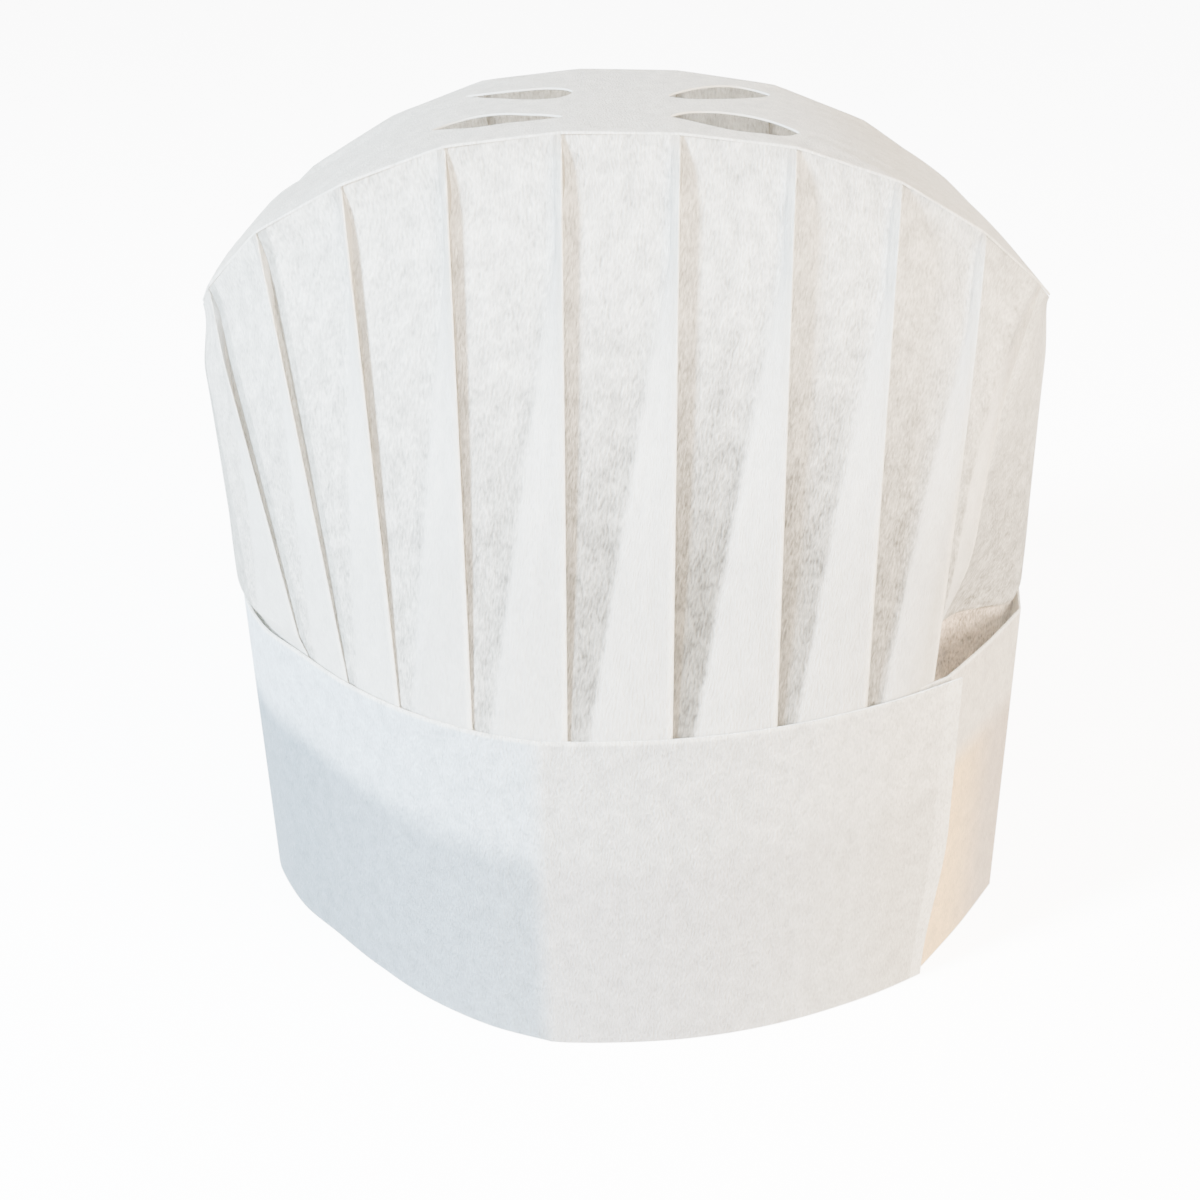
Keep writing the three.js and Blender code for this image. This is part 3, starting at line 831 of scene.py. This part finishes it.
def build_crown():
    """The panel's rings from its turned edge inwards, closed at the middle."""
    stations = np.arange(station_count * columns_per_station) / columns_per_station
    shares = np.linspace(0, 1, ring_count)[1:] * 0.65
    shares += np.sin(np.linspace(0, np.pi / 2, ring_count))[1:] * 0.35
    rows = [crown_rim(stations, math.radians(angle)) for angle in (90, 70, 45, 22)]
    rows += [crown_row(stations, share) for share in shares[::-1]]
    points = np.array(rows)
    arc_x = np.linspace(-crown_half_length - 1, crown_half_length, 800)
    arc = np.concatenate([[0], np.cumsum(np.hypot(np.diff(arc_x), np.diff(arch_at(arc_x))))])
    cloth = np.zeros(points.shape[:2] + (2,))
    cloth[:, :, 0] = np.interp(points[:, :, 0], arc_x, arc) / centimetre
    cloth[:, :, 1] = points[:, :, 1] / centimetre
    edge = np.zeros_like(cloth)
    edge[:, :, 0] = np.arange(len(points))[:, None] / 30
    points[:, :, :2] += footprint_shift
    cloth = np.concatenate([cloth, cloth[:, :1]], axis=1)
    edge = np.concatenate([edge, edge[:, :1]], axis=1)
    crown = cloth_grid("crown_cloth", points, {"cloth": cloth, "edge": edge}, True)
    choose(crown)
    bpy.ops.object.mode_set(mode="EDIT")
    bpy.ops.mesh.select_all(action="DESELECT")
    bpy.ops.object.mode_set(mode="OBJECT")
    inner = (len(points) - 1) * len(stations)
    for index in range(inner, inner + len(stations)):
        crown.data.vertices[index].select = True
    bpy.ops.object.mode_set(mode="EDIT")
    bpy.ops.mesh.merge(type="CENTER", uvs=True)
    bpy.ops.object.mode_set(mode="OBJECT")
    thicken(crown, cloth_wall)
    return crown


vent_outlines = [               # plan outlines of the four holes, in millimetres
    [(-41.7, -16.5), (-35.5, -12.5), (-27.5, -14.2), (-20, -18.8), (-13.5, -23.5),
     (-19.5, -26.3), (-27, -26.6), (-35.5, -23.2)],
    [(-37.6, 17.8), (-31, 15), (-24.5, 13.2), (-18, 12.6), (-13.6, 9.6), (-12.2, 4.6),
     (-14.2, -0.8), (-18.5, -2.6), (-24.6, 0.6), (-31.5, 8.6)],
    [(9.2, 1.6), (12.8, 9.5), (18.5, 17.8), (24.5, 23), (29.8, 23.4), (33.2, 19.6),
     (30.5, 12.6), (25, 5.6), (18, 0.2), (12.5, -1.2)],
    [(9.1, -22.6), (13, -16.6), (19, -13.9), (26, -13.6), (32.2, -16.4), (36.2, -21.9),
     (33.2, -28.2), (28, -32.2), (22, -32.4), (16.5, -29.3), (12.3, -25.8)],
]


def cut_vent(crown, outline):
    """Punches one hole through the panel with a straight cutter of the hole's outline."""
    line = (spline(outline, 8, True) + footprint_shift) * MM
    bpy.ops.object.select_all(action="DESELECT")
    bpy.ops.mesh.primitive_circle_add(vertices=len(line), fill_type="NGON")
    cutter = bpy.context.object
    for vertex, point in zip(cutter.data.vertices, line):
        vertex.co = (point[0], point[1], 0.15)
    bpy.ops.object.mode_set(mode="EDIT")
    bpy.ops.mesh.select_all(action="SELECT")
    bpy.ops.mesh.extrude_region_move(TRANSFORM_OT_translate={"value": (0, 0, 0.06)})
    bpy.ops.mesh.select_all(action="SELECT")
    bpy.ops.mesh.normals_make_consistent(inside=False)
    bpy.ops.object.mode_set(mode="OBJECT")
    choose(crown)
    hole = crown.modifiers.new("hole", "BOOLEAN")
    hole.operation = "DIFFERENCE"
    hole.solver = "EXACT"
    hole.object = cutter
    bpy.ops.object.modifier_apply(modifier=hole.name)
    bpy.data.objects.remove(cutter)


panel_cloth = (0.74, 0.725, 0.70, 1)
# Painted highlight along the crown's turned edge.
turned_edge_painted_highlight = (0.95, 0.95, 0.94, 1)


def crown_finish():
    finish = Finish("crown_viscose")
    place, _, _ = finish.uv("cloth")
    _, ring, _ = finish.uv("edge")
    # Painted highlight along the turned edge.
    rim_painted_highlight = 1.0 - (ring * 30).between(3.0, 4.6)
    tone = finish.blend(rim_painted_highlight, panel_cloth, turned_edge_painted_highlight)
    return viscose("crown_viscose", place, tone, 0.105, 0.4, 1.3)


crown = build_crown()
for outline in vent_outlines:
    cut_vent(crown, outline)
crown.data.materials.clear()
crown.data.materials.append(crown_finish())
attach(crown, "root")
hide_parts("crown")


# Floor: a plain pale studio surface that the hat stands on, larger than the picture.

bpy.ops.object.select_all(action="DESELECT")
bpy.ops.mesh.primitive_plane_add(size=12, location=(0, 0, -0.0002))
floor = bpy.context.object
floor.name = "studio_floor"
floor.data.transform(floor.matrix_world)
floor.matrix_world = Matrix.Identity(4)
ground = Finish("studio_floor_paint")
grain = ground.node(
    "ShaderNodeTexNoise",
    sockets={
        "Vector": ground.node("ShaderNodeTexCoord", output=3),
        "Scale": 3.0,
    },
)
paint = ground.node(
    "ShaderNodeBsdfPrincipled",
    sockets={
        "Base Color": ground.blend(grain, (0.93, 0.935, 0.94, 1), (0.95, 0.95, 0.95, 1)),
        "Roughness": 0.9,
    },
)
paint.socket.node.inputs["Emission Color"].default_value = (1, 1, 1, 1)
paint.socket.node.inputs["Emission Strength"].default_value = 9.0
ground.node("ShaderNodeOutputMaterial", sockets={"Surface": paint})
floor.data.materials.append(ground.material)
floor.visible_diffuse = False
